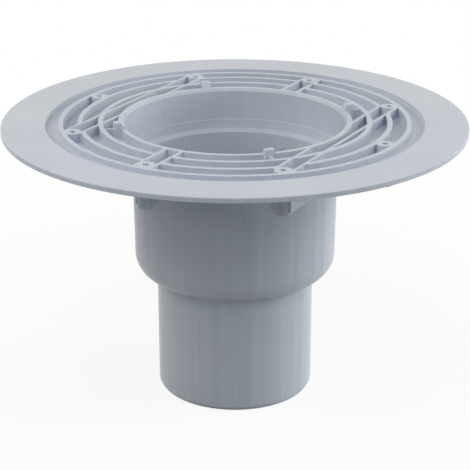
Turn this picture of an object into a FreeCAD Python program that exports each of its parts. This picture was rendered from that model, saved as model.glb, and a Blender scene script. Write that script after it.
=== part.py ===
import FreeCAD, Part
import os

import Sketcher

# Floor drain body, one plastic moulding: a wide sealing flange, a ribbed pan with
# screw bosses, a seat for the inlet, a pot and a plain spigot.
# The drain's axis is Z, the spigot ends at Z = 0 and the straight ribs run along Y.
# All lengths are in millimetres.

SIZES = (
    ("overall_height", 196.0, "spigot end to flange top"),
    ("flange_diameter", 318.0, "outside of the sealing flange"),
    ("flange_thickness", 3.3, "flange plate"),
    ("wall", 2.8, "pan, cup, pot and shoulder"),
    ("edge_break", 0.4, "broken edge of the flange"),
    ("seat_diameter", 151.2, "upper bore that takes the inlet"),
    ("seat_depth", 23.2, "flange top to the step in the seat"),
    ("seat_step", 0.9, "width of that step"),
    ("lead_in_width", 1.1, "chamfer at the mouth of the seat, across"),
    ("lead_in_height", 2.1, "chamfer at the mouth of the seat, along"),
    ("collar_lip", 3.3, "flat top of the collar round the seat"),
    ("inner_ring_pitch", 12.0, "outside of the collar to the middle of the inner ring"),
    ("middle_ring_pitch", 13.8, "inner ring to middle ring"),
    ("outer_ring_pitch", 13.0, "middle ring to outer ring"),
    ("pan_margin", 10.4, "outer ring to the inner edge of the flange"),
    ("ring_width", 3.4, "each ring in the pan"),
    ("pan_depth", 6.5, "flange top to pan floor"),
    ("channel_depth", 3.9, "flange top to the channel outside the outer ring"),
    ("boss_diameter", 11.8, "screw boss, with ribs on its two sides"),
    ("boss_depth", 28.0, "flange top to the foot of the bosses"),
    ("screw_hole", 4.2, "pilot hole for a clamp screw"),
    ("screw_hole_depth", 22.0, "pilot hole, blind"),
    ("rib_thickness", 2.0, "straight ribs"),
    ("rib_depth", 26.4, "flange top to the foot of the straight ribs"),
    ("rib_tail", 2.5, "ribs under the pan, past the middle of a boss"),
    ("ledge_depth", 29.9, "flange top to the outer edge of the ledge"),
    ("ledge_width", 6.5, "ledge between seat and pot"),
    ("ledge_drop", 1.2, "fall of the ledge towards the pot"),
    ("pot_taper", 0.6, "radius lost outside from the cup to the shoulder"),
    ("spigot_diameter", 110.0, "outside of the spigot"),
    ("spigot_wall", 2.8, "spigot"),
    ("spigot_length", 85.0, "spigot end to the shoulder"),
    ("spigot_lead_width", 1.2, "chamfer at the spigot end, across"),
    ("spigot_lead_height", 2.4, "chamfer at the spigot end, along"),
    ("tab_width", 6.3, "catch tab, along the collar"),
    ("tab_overhang", 4.2, "catch tab, outside the collar"),
    ("tab_draft", 0.6, "slope of the tab's outer face, at the foot"),
    ("tab_rise", 4.1, "catch tab, above the flange top"),
    ("web_thickness", 2.0, "web between a tab and the inner ring"),
    ("stop_depth", 40.0, "flange top to the stop ribs in the pot"),
    ("stop_width", 2.4, "stop rib, along the wall"),
    ("stop_height", 2.4, "stop rib, proud of the wall"),
)

BOSS_COUNT = 8
TAB_COUNT = 4
TAB_TURN = 45.0
STOP_COUNT = 6
STOP_TURN = 30.0

SIDES = (1, -1)

# Overlap that joins one feature to the next.
BITE = 0.5

# Lines of the section, as expressions over the sizes.
TOP = "Sizes.overall_height"
FLANGE_R = "Sizes.flange_diameter / 2"
FLANGE_UNDER = f"{TOP} - Sizes.flange_thickness"
SEAT_R = "Sizes.seat_diameter / 2"
SEAT_FLOOR = f"{TOP} - Sizes.seat_depth"
STEP_R = f"{SEAT_R} - Sizes.seat_step"
CUP_R = f"{SEAT_R} + Sizes.wall"
LIP_R = f"{SEAT_R} + Sizes.lead_in_width"
COLLAR_R = f"{LIP_R} + Sizes.collar_lip"
INNER_RING_R = f"{COLLAR_R} + Sizes.inner_ring_pitch"
MIDDLE_RING_R = f"{INNER_RING_R} + Sizes.middle_ring_pitch"
OUTER_RING_R = f"{MIDDLE_RING_R} + Sizes.outer_ring_pitch"
OUTER_RING_BACK_R = f"{OUTER_RING_R} + Sizes.ring_width / 2"
PAN_R = f"{OUTER_RING_R} + Sizes.pan_margin"
PAN_OUTER_R = f"{PAN_R} + Sizes.wall"
PAN_FLOOR = f"{TOP} - Sizes.pan_depth"
PAN_UNDER = f"{PAN_FLOOR} - Sizes.wall"
PAN_ROOT = f"{PAN_FLOOR} - {BITE}"
CHANNEL_FLOOR = f"{TOP} - Sizes.channel_depth"
CHANNEL_UNDER = f"{CHANNEL_FLOOR} - Sizes.wall"
LEDGE = f"{TOP} - Sizes.ledge_depth"
LEDGE_FOOT = f"{LEDGE} - Sizes.ledge_drop"
POT_INNER_R = f"{STEP_R} - Sizes.ledge_width"
POT_R = f"{POT_INNER_R} + Sizes.wall"
POT_FOOT_R = f"{POT_R} - Sizes.pot_taper"
SPIGOT_R = "Sizes.spigot_diameter / 2"
SPIGOT_INNER_R = f"{SPIGOT_R} - Sizes.spigot_wall"
SHOULDER_TOP = f"Sizes.spigot_length + {POT_FOOT_R} - {SPIGOT_R}"
SHOULDER_FLOOR = "Sizes.spigot_length + Sizes.wall"
SHOULDER_REACH = f"({POT_INNER_R} - ({SPIGOT_INNER_R}))"
SHOULDER_BREAK = f"{SHOULDER_REACH} * cos(45)"
SHOULDER_INNER_TOP = f"{SHOULDER_FLOOR} + {SHOULDER_REACH}"
BOSS_FOOT = f"{TOP} - Sizes.boss_depth"
RIB_FOOT = f"{TOP} - Sizes.rib_depth"
RIB_OFFSET = "Sizes.boss_diameter / 2"
RIB_END_R = f"{OUTER_RING_R} - Sizes.ring_width / 2 + {BITE}"
RING_REACH = f"sqrt(({RIB_END_R})^2 - ({{}})^2)"
BOSS_R = f"{MIDDLE_RING_R} + Sizes.outer_ring_pitch / 2"
CHORD = f"({BOSS_R}) * cos(45)"
OUTER_CHORD = f"{CHORD} + {RIB_OFFSET}"
INNER_CHORD = f"{CHORD} - {RIB_OFFSET}"
TAB_OUTER = f"{COLLAR_R} + Sizes.tab_overhang"
TAB_TOP = f"{TOP} + Sizes.tab_rise"
STOP_TOP = f"{TOP} - Sizes.stop_depth"

doc = FreeCAD.newDocument("floor_drain_body")
sheet = doc.addObject("Spreadsheet::Sheet", "Sizes")
for row, (alias, number, meaning) in enumerate(SIZES, start=1):
    sheet.set(f"A{row}", alias)
    sheet.set(f"B{row}", str(number))
    sheet.setAlias(f"B{row}", alias)
    sheet.set(f"C{row}", meaning)
doc.recompute()

body = doc.addObject("PartDesign::Body", "DrainBody")
body.Label = "drain_body"


def value(expression):
    """Return what an expression over the sizes comes to."""
    return float(sheet.evalExpression(expression))


def origin(role):
    """Return one of the body's own origin planes or axes."""
    return next(item for item in body.Origin.OriginFeatures if item.Role == role)


def plane_sketch(name, role, level=None, turn=0.0):
    """Make a sketch on an origin plane, raised to a level or turned about Z."""
    upright = FreeCAD.Vector(0, 0, 1) if role == "XY_Plane" else FreeCAD.Vector(0, 1, 0)
    sketch = body.newObject("Sketcher::SketchObject", name)
    sketch.AttachmentSupport = [(origin(role), "")]
    sketch.MapMode = "FlatFace"
    sketch.AttachmentOffset = FreeCAD.Placement(FreeCAD.Vector(), FreeCAD.Rotation(upright, turn))
    if level:
        sketch.setExpression("AttachmentOffset.Base.z", level)
    return sketch


def tie(sketch, geometry, point, across, up):
    """Tie a point of a sketch to two expressions, or to an axis where one is zero."""
    for kind, axis, expression in (("DistanceX", -2, across), ("DistanceY", -1, up)):
        if expression == "0":
            sketch.addConstraint(Sketcher.Constraint("PointOnObject", geometry, point, axis))
        else:
            size = Sketcher.Constraint(kind, -1, 1, geometry, point, value(expression))
            index = sketch.addConstraint(size)
            sketch.setExpression(f"Constraints[{index}]", expression)


def outline(sketch, corners, rounds=()):
    """Draw a closed outline through corners, each a pair of expressions.

    The sides numbered in rounds are quarter rounds, level at their start and upright at their end.
    """
    points = [FreeCAD.Vector(value(across), value(up), 0) for across, up in corners]
    first = sketch.GeometryCount
    for side, start in enumerate(points):
        end = points[(side + 1) % len(points)]
        if side in rounds:
            centre = FreeCAD.Vector(start.x, end.y, 0)
            outward = (start + end - centre * 2).normalize()
            halfway = centre + outward * start.distanceToPoint(centre)
            sketch.addGeometry(Part.Arc(start, halfway, end))
        else:
            sketch.addGeometry(Part.LineSegment(start, end))
    for side, (across, up) in enumerate(corners):
        here = first + side
        before = first + (side - 1) % len(corners)
        tie(sketch, here, 1, across, up)
        sketch.addConstraint(Sketcher.Constraint("Coincident", before, 2, here, 1))
        if side in rounds:
            sketch.addConstraint(Sketcher.Constraint("Vertical", here, 3, here, 1))


def rectangle(sketch, left, right, foot, crown):
    """Draw a rectangle between four expressions."""
    outline(sketch, [(left, foot), (left, crown), (right, crown), (right, foot)])


def circle(sketch, across, up, diameter):
    """Draw a circle by its centre and diameter."""
    centre = FreeCAD.Vector(value(across), value(up), 0)
    curve = Part.Circle(centre, FreeCAD.Vector(0, 0, 1), value(diameter) / 2)
    index = sketch.addGeometry(curve)
    tie(sketch, index, 3, across, up)
    size = sketch.addConstraint(Sketcher.Constraint("Diameter", index, value(diameter)))
    sketch.setExpression(f"Constraints[{size}]", diameter)


def turned(kind, name, sketch):
    """Add a Revolution or cut a Groove about the drain's axis."""
    feature = body.newObject(f"PartDesign::{kind}", name)
    feature.Profile = sketch
    feature.ReferenceAxis = (sketch, ["V_Axis"])
    feature.Angle = 360
    doc.recompute()


def raised(kind, name, sketch, length, side="One side"):
    """Add a Pad or cut a Pocket of a length given as an expression."""
    feature = body.newObject(f"PartDesign::{kind}", name)
    feature.Profile = sketch
    feature.SideType = side
    feature.setExpression("Length", length)
    doc.recompute()
    return feature


def cut(name, sketch, depth):
    """Cut a Pocket downwards and make sure that it took material away."""
    before = body.Shape.Volume
    pocket = raised("Pocket", name, sketch, depth)
    if body.Shape.Volume >= before:
        raise RuntimeError(f"{name} cut nothing")
    return pocket


def rings(name, middles):
    """Raise rings on the pan floor, each given by the radius of its middle."""
    ring_section = plane_sketch(f"{name}Section", "XZ_Plane")
    for middle in middles:
        inner = f"{middle} - Sizes.ring_width / 2"
        outer = f"{middle} + Sizes.ring_width / 2"
        rectangle(ring_section, inner, outer, PAN_ROOT, TOP)
    turned("Revolution", name, ring_section)


def around(name, originals, count):
    """Repeat features evenly about the drain's axis."""
    pattern = body.newObject("PartDesign::PolarPattern", name)
    pattern.Originals = originals
    pattern.Axis = (origin("Z_Axis"), [""])
    pattern.Angle = 360
    pattern.Occurrences = count
    body.Tip = pattern
    doc.recompute()


def across_the_axis(name, originals):
    """Repeat features on the other side of the YZ plane."""
    mirror = body.newObject("PartDesign::Mirrored", name)
    mirror.Originals = originals
    mirror.MirrorPlane = (origin("YZ_Plane"), [""])
    body.Tip = mirror
    doc.recompute()


# Outside of the whole moulding, still solid inside.
outside = plane_sketch("OuterSection", "XZ_Plane")
outline(outside, [
    ("0", "0"),
    (f"{SPIGOT_R} - Sizes.spigot_lead_width", "0"),
    (SPIGOT_R, "Sizes.spigot_lead_height"),
    (SPIGOT_R, "Sizes.spigot_length"),
    (POT_FOOT_R, SHOULDER_TOP),
    (POT_R, f"{LEDGE_FOOT} - Sizes.wall"),
    (CUP_R, f"{LEDGE} - Sizes.wall"),
    (CUP_R, PAN_UNDER),
    (OUTER_RING_BACK_R, PAN_UNDER),
    (OUTER_RING_BACK_R, CHANNEL_UNDER),
    (PAN_OUTER_R, CHANNEL_UNDER),
    (PAN_OUTER_R, FLANGE_UNDER),
    (FLANGE_R, FLANGE_UNDER),
    (FLANGE_R, f"{TOP} - Sizes.edge_break"),
    (f"{FLANGE_R} - Sizes.edge_break", TOP),
    (PAN_R, TOP),
    (PAN_R, CHANNEL_FLOOR),
    (OUTER_RING_R, CHANNEL_FLOOR),
    (OUTER_RING_R, PAN_FLOOR),
    (COLLAR_R, PAN_FLOOR),
    (COLLAR_R, TOP),
    ("0", TOP),
], rounds=[3])
turned("Revolution", "OuterForm", outside)

# Three rings stand on the pan floor, level with the flange top.
# The middle ring is open between the two ribs of every pair, the inner ring only
# between those on the Y axis.
rings("MiddleRing", [MIDDLE_RING_R])
chord_slots = plane_sketch("ChordSlotPlan", "XY_Plane", TOP)
slot_end = f"sqrt(({MIDDLE_RING_R} - Sizes.ring_width)^2 - ({OUTER_CHORD})^2)"
for x_side in SIDES:
    for y_side in SIDES:
        rectangle(
            chord_slots,
            f"{x_side} * ({INNER_CHORD})",
            f"{x_side} * ({OUTER_CHORD})",
            f"{y_side} * {slot_end}",
            f"{y_side} * {CHORD}",
        )
cut("ChordSlots", chord_slots, "Sizes.pan_depth")
rings("OuterAndInnerRings", [OUTER_RING_R, INNER_RING_R])
pair_slots = plane_sketch("PairSlotPlan", "XY_Plane", TOP)
for y_side in SIDES:
    rectangle(
        pair_slots,
        f"-{RIB_OFFSET}",
        RIB_OFFSET,
        f"{y_side} * ({COLLAR_R} + Sizes.inner_ring_pitch / 2)",
        f"{y_side} * ({BOSS_R})",
    )
cut("PairSlots", pair_slots, "Sizes.pan_depth")

# Straight ribs run along Y, one on each side of a boss, on the pan floor and below it.
# On the floor the pair on the Y axis and the outer chords end in the outer ring.
rib_lines = (
    ("PairRib", RIB_OFFSET, BOSS_R, RING_REACH.format(RIB_OFFSET)),
    ("OuterChordRib", OUTER_CHORD, CHORD, RING_REACH.format(OUTER_CHORD)),
    ("InnerChordRib", INNER_CHORD, CHORD, CHORD),
)
ribs = []
for name, line, boss_reach, floor_reach in rib_lines:
    tiers = (
        (name, PAN_ROOT, TOP, floor_reach),
        (f"{name}Foot", RIB_FOOT, PAN_ROOT, f"({boss_reach} + Sizes.rib_tail)"),
    )
    for tier, foot, crown, reach in tiers:
        rib_section = plane_sketch(f"{tier}Section", "XZ_Plane")
        left = f"{line} - Sizes.rib_thickness / 2"
        right = f"{line} + Sizes.rib_thickness / 2"
        rectangle(rib_section, left, right, foot, crown)
        ribs.append(raised("Pad", tier, rib_section, f"2 * {reach}", "Symmetric"))
across_the_axis("RibsAcross", ribs)

# Screw bosses hang below the pan and carry blind pilot holes.
boss_plan = plane_sketch("BossPlan", "XY_Plane", BOSS_FOOT)
circle(boss_plan, BOSS_R, "0", "Sizes.boss_diameter")
boss = raised("Pad", "Boss", boss_plan, "Sizes.boss_depth")
hole_plan = plane_sketch("ScrewHolePlan", "XY_Plane", TOP)
circle(hole_plan, BOSS_R, "0", "Sizes.screw_hole")
hole = cut("ScrewHole", hole_plan, "Sizes.screw_hole_depth")
around("Bosses", [boss, hole], BOSS_COUNT)

# Catch tabs stand on the collar with a ramp on the seat's side, each with a web to the
# inner ring.
tab_section = plane_sketch("TabSection", "XZ_Plane", turn=TAB_TURN)
outline(tab_section, [
    (f"{LIP_R} + {BITE}", PAN_ROOT),
    (f"{LIP_R} + {BITE}", TOP),
    (COLLAR_R, TAB_TOP),
    (TAB_OUTER, TAB_TOP),
    (f"{TAB_OUTER} + Sizes.tab_draft", PAN_ROOT),
])
tab = raised("Pad", "Tab", tab_section, "Sizes.tab_width", "Symmetric")
web_section = plane_sketch("WebSection", "XZ_Plane", turn=TAB_TURN)
rectangle(web_section, f"{COLLAR_R} - {BITE}", INNER_RING_R, PAN_ROOT, TOP)
web = raised("Pad", "TabWeb", web_section, "Sizes.web_thickness", "Symmetric")
around("Tabs", [tab, web], TAB_COUNT)

# Inside: seat with its step, sloping ledge, pot, two slopes to the spigot and its bore.
inside = plane_sketch("InnerSection", "XZ_Plane")
outline(inside, [
    ("0", TOP),
    (LIP_R, TOP),
    (SEAT_R, f"{TOP} - Sizes.lead_in_height"),
    (SEAT_R, SEAT_FLOOR),
    (STEP_R, SEAT_FLOOR),
    (STEP_R, LEDGE),
    (POT_INNER_R, LEDGE_FOOT),
    (POT_INNER_R, SHOULDER_INNER_TOP),
    (f"{SPIGOT_INNER_R} + {SHOULDER_BREAK}", f"{SHOULDER_INNER_TOP} - {SHOULDER_BREAK}"),
    (SPIGOT_INNER_R, SHOULDER_FLOOR),
    (SPIGOT_INNER_R, "0"),
    ("0", "0"),
])
solid_volume = body.Shape.Volume
turned("Groove", "Inside", inside)
if body.Shape.Volume > 0.5 * solid_volume:
    raise RuntimeError("the inside of the drain was not cut")

# Stop ribs on the pot wall, from under the ledge down to the shoulder.
stop_section = plane_sketch("StopSection", "XZ_Plane", turn=STOP_TURN)
stop_face = f"{POT_INNER_R} - Sizes.stop_height"
rectangle(stop_section, stop_face, f"{POT_INNER_R} + {BITE}", SHOULDER_INNER_TOP, STOP_TOP)
stop_rib = raised("Pad", "StopRib", stop_section, "Sizes.stop_width", "Symmetric")
around("StopRibs", [stop_rib], STOP_COUNT)

doc.recompute()
for item in doc.Objects:
    if {"Invalid", "Error"} & set(item.State):
        raise RuntimeError(f"{item.Name} did not build: {item.State}")
if body.Shape.isNull() or not body.Shape.isValid() or len(body.Shape.Solids) != 1:
    raise RuntimeError(f"{body.Label} is not one valid solid")

os.makedirs("parts", exist_ok=True)
body.Shape.exportStep(os.path.join("parts", f"{body.Label}.step"))
print(body.Label, "volume", round(body.Shape.Volume), "mm3, box", body.Shape.BoundBox)
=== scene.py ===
import math

import bpy
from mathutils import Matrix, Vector


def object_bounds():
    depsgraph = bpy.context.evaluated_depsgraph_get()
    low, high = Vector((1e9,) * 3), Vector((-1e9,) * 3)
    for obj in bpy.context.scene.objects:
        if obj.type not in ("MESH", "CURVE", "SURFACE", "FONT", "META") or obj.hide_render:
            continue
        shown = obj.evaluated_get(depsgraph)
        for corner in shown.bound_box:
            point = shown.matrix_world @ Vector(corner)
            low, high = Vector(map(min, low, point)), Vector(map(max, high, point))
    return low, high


# Floor drain body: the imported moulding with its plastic, on a pale floor in soft studio light.
# Lengths are in metres, apart from the camera's sensor and lens in millimetres. Angles are in degrees.
# Directions round the drain are counted from the camera, to its right.

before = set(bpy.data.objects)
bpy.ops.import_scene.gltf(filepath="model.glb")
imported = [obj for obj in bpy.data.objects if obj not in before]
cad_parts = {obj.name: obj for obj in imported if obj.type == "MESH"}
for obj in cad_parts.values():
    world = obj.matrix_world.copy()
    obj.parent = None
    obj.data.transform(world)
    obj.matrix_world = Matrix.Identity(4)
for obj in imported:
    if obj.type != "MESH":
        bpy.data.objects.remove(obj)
cad_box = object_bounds()

# The photograph's view: where the camera stands round the drain, how far it looks down, its distance from
# the drain's axis and its height.
CAMERA_AZIMUTH = 29.6
CAMERA_TILT = 21.5
CAMERA_BACK = 0.9726
CAMERA_HEIGHT = 0.4934
SENSOR_WIDTH = 36.0
LENS = 113.4
# A camera with no turn looks straight down, and with this turn it looks level.
LEVEL_TURN = 90.0

FLOOR_SIZE = 16.0
# The colour with which the floor lights the drain.
FLOOR_BOUNCE = (0.288, 0.3, 0.312, 1.0)
# The floor as it is seen: plain white mixed with paper that takes the shadow. The white's share is this near
# the drain's axis, and grows to the whole between these distances from it.
SHADOW_WHITE = 0.86
SHADOW_REACH = (0.1, 0.6)

# The light of the surroundings, which are white where they are seen.
WHITE = (1.0, 1.0, 1.0, 1.0)
WORLD_COLOUR = (0.93, 0.96, 1.0, 1.0)
WORLD_STRENGTH = 0.01

# Soft lamps: name, direction, height above the horizon, distance, width, height, watts and colour.
PLAIN = (1.0, 1.0, 1.0)
WARM = (1.0, 0.93, 0.83)
LAMPS = (
    ("top_softbox", -33.0, 60.0, 1.4, 1.2, 1.0, 5.8, PLAIN),
    ("front_softbox", 0.0, 38.0, 1.4, 0.8, 0.6, 1.95, PLAIN),
    ("left_softbox", -102.0, 38.0, 1.4, 1.2, 0.7, 6.9, WARM),
    ("low_left_softbox", -52.0, 20.0, 1.4, 0.8, 0.5, 2.3, PLAIN),
    ("right_fill", 75.0, 40.0, 1.4, 1.0, 0.7, 3.7, PLAIN),
    ("low_right_fill", 80.0, 8.0, 1.4, 1.0, 0.45, 3.3, PLAIN),
    ("right_strip_fill", 93.0, 14.0, 1.2, 0.3, 0.6, 3.5, PLAIN),
    ("back_fill", 120.0, 30.0, 1.4, 1.0, 0.9, 6.0, WARM),
)
# A lamp whose name ends so throws no mirror image, which would glare on the flange when seen from behind.
FILL = "fill"

PLASTIC_LIGHT = (0.6, 0.655, 0.735, 1.0)
PLASTIC_DARK = (0.565, 0.618, 0.7, 1.0)
ROUGHNESS = (0.26, 0.34)
SPECULAR = 0.25
EDGE_RADIUS = 0.0004
EDGE_SAMPLES = 6
SMOOTH_ANGLE = 32.0
# Noises in the plastic: scale and detail. Most of a noise's values lie in its middle.
CLOUDS = (22.0, 3.0)
STREAKS = (170.0, 3.0)
GRAIN = (1800.0, 2.0)
WAVES = (45.0, 1.0)
NOISE_MIDDLE = (0.3, 0.7)
# Bumps: strength and depth.
WAVE_BUMP = (0.25, 0.0004)
MARK_BUMP = (0.3, 0.0003)
GRAIN_BUMP = (0.2, 0.00005)
# The mould's marks on upright walls: streaks, whose noise has this scale along the drain's axis.
DRAW_SCALE = 0.02
# Their strength on walls that face the axis and on walls that face away from it. One turns into the other
# between these distances of the wall from the axis, which are negative where the wall faces it.
MARKS_INSIDE = 0.4
MARKS_OUTSIDE = 0.9
MARK_TURN = (-0.02, 0.02)
# They fade as a face turns level, between these upright parts of its normal.
MARK_FADE = (0.2, 0.8)


def direction(azimuth, elevation):
    """Return the unit vector towards a place round the drain."""
    around = math.radians(CAMERA_AZIMUTH + azimuth)
    up = math.radians(elevation)
    return Vector((math.sin(around) * math.cos(up), -math.cos(around) * math.cos(up), math.sin(up)))


def node(tree, kind, **values):
    """Add a shader node and set its properties and input values by name."""
    made = tree.nodes.new(kind)
    for name, value in values.items():
        if hasattr(made, name):
            setattr(made, name, value)
        else:
            made.inputs[name.replace("_", " ")].default_value = value
    return made


def socket(sockets, identifier):
    """Return the socket with this identifier, where several have the same name."""
    return next(each for each in sockets if each.identifier == identifier)


def noise(tree, place, scale, detail):
    """Add a noise texture over coordinates and return its value."""
    made = node(tree, "ShaderNodeTexNoise", Scale=scale, Detail=detail)
    tree.links.new(place, made.inputs["Vector"])
    return made.outputs["Fac"]


def spread(tree, source, old, new):
    """Turn one range of values into another, and return the result."""
    made = node(tree, "ShaderNodeMapRange", From_Min=old[0], From_Max=old[1], To_Min=new[0], To_Max=new[1])
    tree.links.new(source, made.inputs["Value"])
    return made.outputs["Result"]


def combine(tree, operation, first, second):
    """Join two values by an operation, such as ADD, and return the result."""
    made = node(tree, "ShaderNodeMath", operation=operation)
    tree.links.new(first, made.inputs[0])
    tree.links.new(second, made.inputs[1])
    return made.outputs["Value"]


def mix_colours(tree, share, first, second):
    """Mix two colours and return the result, which is the second where the share is 1."""
    made = node(tree, "ShaderNodeMix", data_type="RGBA")
    tree.links.new(share, socket(made.inputs, "Factor_Float"))
    socket(made.inputs, "A_Color").default_value = first
    socket(made.inputs, "B_Color").default_value = second
    return socket(made.outputs, "Result_Color")


def mix_shaders(tree, share, first, second):
    """Mix two shader nodes and return the new node, which is the second where the share is 1."""
    made = node(tree, "ShaderNodeMixShader")
    tree.links.new(share, made.inputs[0])
    tree.links.new(first.outputs[0], made.inputs[1])
    tree.links.new(second.outputs[0], made.inputs[2])
    return made


def bump(tree, height, normal, strength, distance):
    """Lay a bump over a normal and return the new normal."""
    made = node(tree, "ShaderNodeBump", Strength=strength, Distance=distance)
    tree.links.new(height, made.inputs["Height"])
    tree.links.new(normal, made.inputs["Normal"])
    return made.outputs["Normal"]


def upright_share(tree, normal):
    """Return 1 on upright walls and 0 on level faces."""
    parts = node(tree, "ShaderNodeSeparateXYZ")
    tree.links.new(normal, parts.inputs["Vector"])
    upright_part = node(tree, "ShaderNodeMath", operation="ABSOLUTE")
    tree.links.new(parts.outputs["Z"], upright_part.inputs[0])
    return spread(tree, upright_part.outputs["Value"], MARK_FADE, (1.0, 0.0))


def mark_strength(tree, place):
    """Return how strong the mould's marks are: more on walls that face outwards, none on level faces."""
    normal = node(tree, "ShaderNodeNewGeometry").outputs["Normal"]
    facing = node(tree, "ShaderNodeVectorMath", operation="DOT_PRODUCT")
    tree.links.new(normal, facing.inputs[0])
    tree.links.new(place, facing.inputs[1])
    strength = spread(tree, facing.outputs["Value"], MARK_TURN, (MARKS_INSIDE, MARKS_OUTSIDE))
    return combine(tree, "MULTIPLY", strength, upright_share(tree, normal))


def mould_marks(tree, place):
    """Return the mould's marks: streaks along the drain's axis, from -1 to 1 times their strength."""
    drawn = node(tree, "ShaderNodeMapping", Scale=(1.0, 1.0, DRAW_SCALE))
    tree.links.new(place, drawn.inputs["Vector"])
    streaks = spread(tree, noise(tree, drawn.outputs["Vector"], *STREAKS), NOISE_MIDDLE, (-1.0, 1.0))
    return combine(tree, "MULTIPLY", streaks, mark_strength(tree, place))


def moulded_plastic():
    """Return light grey moulded plastic: clouds, mould marks, a fine satin grain and softened edges."""
    material = bpy.data.materials.new("moulded_plastic")
    material.use_nodes = True
    tree = material.node_tree
    shader = tree.nodes["Principled BSDF"]
    shader.inputs["Specular IOR Level"].default_value = SPECULAR
    place = node(tree, "ShaderNodeTexCoord").outputs["Object"]

    marks = mould_marks(tree, place)
    clouds = spread(tree, noise(tree, place, *CLOUDS), NOISE_MIDDLE, (0.0, 1.0))
    colour = mix_colours(tree, combine(tree, "ADD", clouds, marks), PLASTIC_DARK, PLASTIC_LIGHT)
    tree.links.new(colour, shader.inputs["Base Color"])

    grain = noise(tree, place, *GRAIN)
    tree.links.new(spread(tree, grain, NOISE_MIDDLE, ROUGHNESS), shader.inputs["Roughness"])

    normal = node(tree, "ShaderNodeBevel", samples=EDGE_SAMPLES, Radius=EDGE_RADIUS).outputs["Normal"]
    normal = bump(tree, noise(tree, place, *WAVES), normal, *WAVE_BUMP)
    normal = bump(tree, marks, normal, *MARK_BUMP)
    normal = bump(tree, grain, normal, *GRAIN_BUMP)
    tree.links.new(normal, shader.inputs["Normal"])
    return material


def seen_rays(tree):
    """Return 1 for rays that show the background: from the camera, a gloss or a glass."""
    path = node(tree, "ShaderNodeLightPath")
    total = path.outputs["Is Camera Ray"]
    for name in ("Is Glossy Ray", "Is Transmission Ray"):
        total = combine(tree, "MAXIMUM", total, path.outputs[name])
    return total


def floor_material():
    """Return the pale floor: nearly white to the eye, with the drain's shadow left on it."""
    material = bpy.data.materials.new("pale_floor")
    material.use_nodes = True
    tree = material.node_tree
    tree.nodes.remove(tree.nodes["Principled BSDF"])
    bounce = node(tree, "ShaderNodeBsdfDiffuse", Color=FLOOR_BOUNCE)
    paper = node(tree, "ShaderNodeBsdfDiffuse", Color=WHITE)
    white = node(tree, "ShaderNodeEmission", Color=WHITE)
    away = node(tree, "ShaderNodeVectorMath", operation="LENGTH")
    tree.links.new(node(tree, "ShaderNodeTexCoord").outputs["Object"], away.inputs[0])
    white_share = spread(tree, away.outputs["Value"], SHADOW_REACH, (SHADOW_WHITE, 1.0))
    seen = mix_shaders(tree, white_share, paper, white)
    above = mix_shaders(tree, seen_rays(tree), bounce, seen)
    # Seen from below, the floor lets the drain show through.
    below = node(tree, "ShaderNodeBsdfTransparent")
    side = node(tree, "ShaderNodeNewGeometry").outputs["Backfacing"]
    both = mix_shaders(tree, side, above, below)
    tree.links.new(both.outputs[0], tree.nodes["Material Output"].inputs["Surface"])
    return material


def light_the_world():
    """Fill the surroundings with even light, white where they are seen."""
    world = bpy.data.worlds.new("studio")
    world.use_nodes = True
    tree = world.node_tree
    even = tree.nodes["Background"]
    even.inputs["Color"].default_value = WORLD_COLOUR
    even.inputs["Strength"].default_value = WORLD_STRENGTH
    white = node(tree, "ShaderNodeBackground", Color=WHITE)
    mixed = mix_shaders(tree, seen_rays(tree), even, white)
    tree.links.new(mixed.outputs[0], tree.nodes["World Output"].inputs["Surface"])
    bpy.context.scene.world = world


def add_lamp(name, azimuth, elevation, distance, width, height, watts, colour):
    """Hang a soft lamp that faces the middle of the drain."""
    data = bpy.data.lights.new(name, "AREA")
    data.shape = "RECTANGLE"
    data.size = width
    data.size_y = height
    data.energy = watts
    data.color = colour
    lamp = bpy.data.objects.new(name, data)
    bpy.context.scene.collection.objects.link(lamp)
    lamp.visible_glossy = not name.endswith(FILL)
    towards = direction(azimuth, elevation)
    middle = (cad_box[0] + cad_box[1]) / 2
    lamp.location = middle + towards * distance
    lamp.rotation_euler = (-towards).to_track_quat("-Z", "Y").to_euler()


def add_floor():
    """Lay the floor that the drain stands on."""
    half = FLOOR_SIZE / 2
    level = cad_box[0].z
    corners = [(-half, -half, level), (half, -half, level), (half, half, level), (-half, half, level)]
    mesh = bpy.data.meshes.new("floor")
    mesh.from_pydata(corners, [], [(0, 1, 2, 3)])
    mesh.materials.append(floor_material())
    floor = bpy.data.objects.new("floor", mesh)
    bpy.context.scene.collection.objects.link(floor)


def add_camera():
    """Set the camera to the photograph's view."""
    data = bpy.data.cameras.new("camera")
    data.sensor_width = SENSOR_WIDTH
    data.lens = LENS
    camera = bpy.data.objects.new("camera", data)
    bpy.context.scene.collection.objects.link(camera)
    around = math.radians(CAMERA_AZIMUTH)
    camera.location = (math.sin(around) * CAMERA_BACK, -math.cos(around) * CAMERA_BACK, CAMERA_HEIGHT)
    camera.rotation_euler = (math.radians(LEVEL_TURN - CAMERA_TILT), 0.0, around)
    bpy.context.scene.camera = camera


def finish_moulding():
    """Give the moulding its plastic, smooth on its curves and sharp at its edges."""
    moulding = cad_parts["drain_body"]
    moulding.data.materials.clear()
    moulding.data.materials.append(moulded_plastic())
    moulding.data.shade_smooth()
    moulding.data.set_sharp_from_angle(angle=math.radians(SMOOTH_ANGLE))


finish_moulding()
add_floor()
light_the_world()
for lamp_values in LAMPS:
    add_lamp(*lamp_values)
add_camera()
bpy.context.scene.view_settings.view_transform = "Standard"
